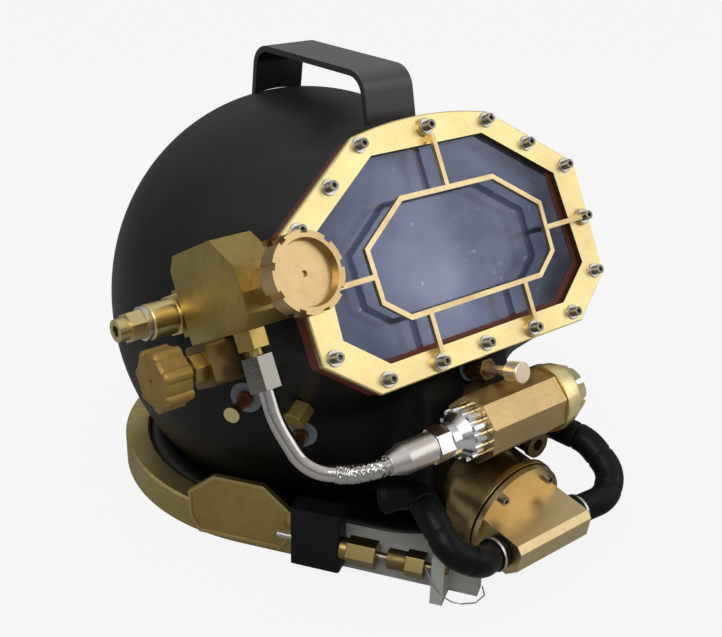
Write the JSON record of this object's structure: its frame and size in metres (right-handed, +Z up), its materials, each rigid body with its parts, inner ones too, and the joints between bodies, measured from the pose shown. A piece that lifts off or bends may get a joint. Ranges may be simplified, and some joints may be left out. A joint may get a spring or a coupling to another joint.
{
  "type": "diving helmet",
  "caption": "Surface-supply diving helmet with a leaning octagonal window, bolted brass bezel, side block with valves, regulator, whisker exhaust, base ring and carry handle.",
  "frame": {"origin": "centre of the neck opening, at the level the base ring stands on", "axes": "+Z up, +X the wearer's left, -Y the way the face looks"},
  "size_m": [0.34, 0.4006, 0.301],
  "materials": {
    "shell_laminate": "satin black laminate",
    "lens": "clear",
    "gasket_rubber": "matte red",
    "pale_brass": "brushed",
    "ring_brass": "machined",
    "dark_brass": "aged",
    "copper_brass": "knurled, copper toned",
    "steel": "stainless",
    "chrome": "bright",
    "black_paint": "satin black",
    "black_rubber": "matte",
    "black_plastic": "matte",
    "mask_rubber": "matte",
    "liner_fabric": "woven lining",
    "red_post": "red over brass"
  },
  "bodies": {
    "helmet": {"badge_plate": "ring_brass", "bezel": "pale_brass", "carry_handle": "black_paint", "comms_plug": "ring_brass", "comms_post_1": "red_post", "comms_post_2": "dark_brass", "comms_washers": "steel", "coupling_nut": "chrome", "cover_screws": "steel", "draw_rod": "steel", "earphones": "black_plastic", "emergency_body": "dark_brass", "emergency_bonnet": "ring_brass", "exhaust_body": "dark_brass", "exhaust_flap": "mask_rubber", "face_lens": "lens", "guard": "pale_brass", "head_cushion": "liner_fabric", "hose_clips": "steel", "inlet_adapter": "ring_brass", "inlet_ring": "steel", "inlet_union": "ring_brass", "microphone": "black_plastic", "neck_band": "ring_brass", "neck_dam": "black_rubber", "nose_nuts": "steel", "nose_stud": "steel", "nose_washer": "steel", "nose_yoke": "black_paint", "oral_nasal_mask": "mask_rubber", "outlet_fitting": "ring_brass", "port_gasket": "gasket_rubber", "port_screws": "steel", "port_washers": "steel", "regulator_body": "ring_brass", "regulator_mount": "ring_brass", "rod_collar": "ring_brass", "rod_end_nut": "ring_brass", "rod_guide_block": "black_plastic", "rod_sleeve": "ring_brass", "shell": "shell_laminate", "side_block": "dark_brass", "steady_bonnet": "ring_brass", "supply_tube": "chrome", "swivel_nut": "chrome", "tube_ferrule": "chrome", "tube_nut": "chrome", "whisker_block": "ring_brass", "whisker_left": "black_rubber", "whisker_right": "black_rubber"},
    "steady_knob": {"steady_knob": "pale_brass"},
    "emergency_knob": {"emergency_knob": "pale_brass"},
    "adjusting_cap": {"adjusting_cap": "ring_brass"},
    "demand_valve": {"demand_poppet": "steel", "demand_spring": "steel"},
    "nose_block_rod": {"nose_rod": "copper_brass", "nose_pad": "black_rubber"},
    "draw_nut": {"draw_nut": "ring_brass"},
    "non_return_valve": {"non_return_poppet": "steel", "non_return_spring": "steel"}
  },
  "joints": [
    {"name": "steady_flow_turn", "type": "hinge", "parent": "helmet", "child": "steady_knob", "pos_m": [-0.136, -0.1442, 0.22621], "axis": [0, -0.8788, 0.4772], "range_deg": [0, 720]},
    {"name": "emergency_valve_turn", "type": "hinge", "parent": "helmet", "child": "emergency_knob", "pos_m": [-0.19, -0.08876, 0.15856], "axis": [-1, 0, 0], "range_deg": [0, 720]},
    {"name": "regulator_cap_turn", "type": "hinge", "parent": "helmet", "child": "adjusting_cap", "pos_m": [0.044, -0.1744, 0.1104], "axis": [1, 0, 0], "range_deg": [-360, 360]},
    {"name": "demand_valve_lift", "type": "slide", "parent": "helmet", "child": "demand_valve", "axis": [1, 0, 0], "range_m": [0, 0.002], "stiffness_N_per_m": 600, "springref_m": -0.004, "deforming": ["demand_spring"]},
    {"name": "nose_block_slide", "type": "slide", "parent": "helmet", "child": "nose_block_rod", "axis": [0, -0.9511, 0.309], "range_m": [-0.008, 0.012]},
    {"name": "draw_nut_turn", "type": "hinge", "parent": "helmet", "child": "draw_nut", "pos_m": [-0.08205, -0.13663, 0.022], "axis": [0.5263, -0.8503, 0], "range_deg": [-720, 720]},
    {"name": "non_return_lift", "type": "slide", "parent": "helmet", "child": "non_return_valve", "axis": [1, 0, 0], "range_m": [0, 0.003], "stiffness_N_per_m": 300, "springref_m": -0.004, "deforming": ["non_return_spring"]}
  ]
}
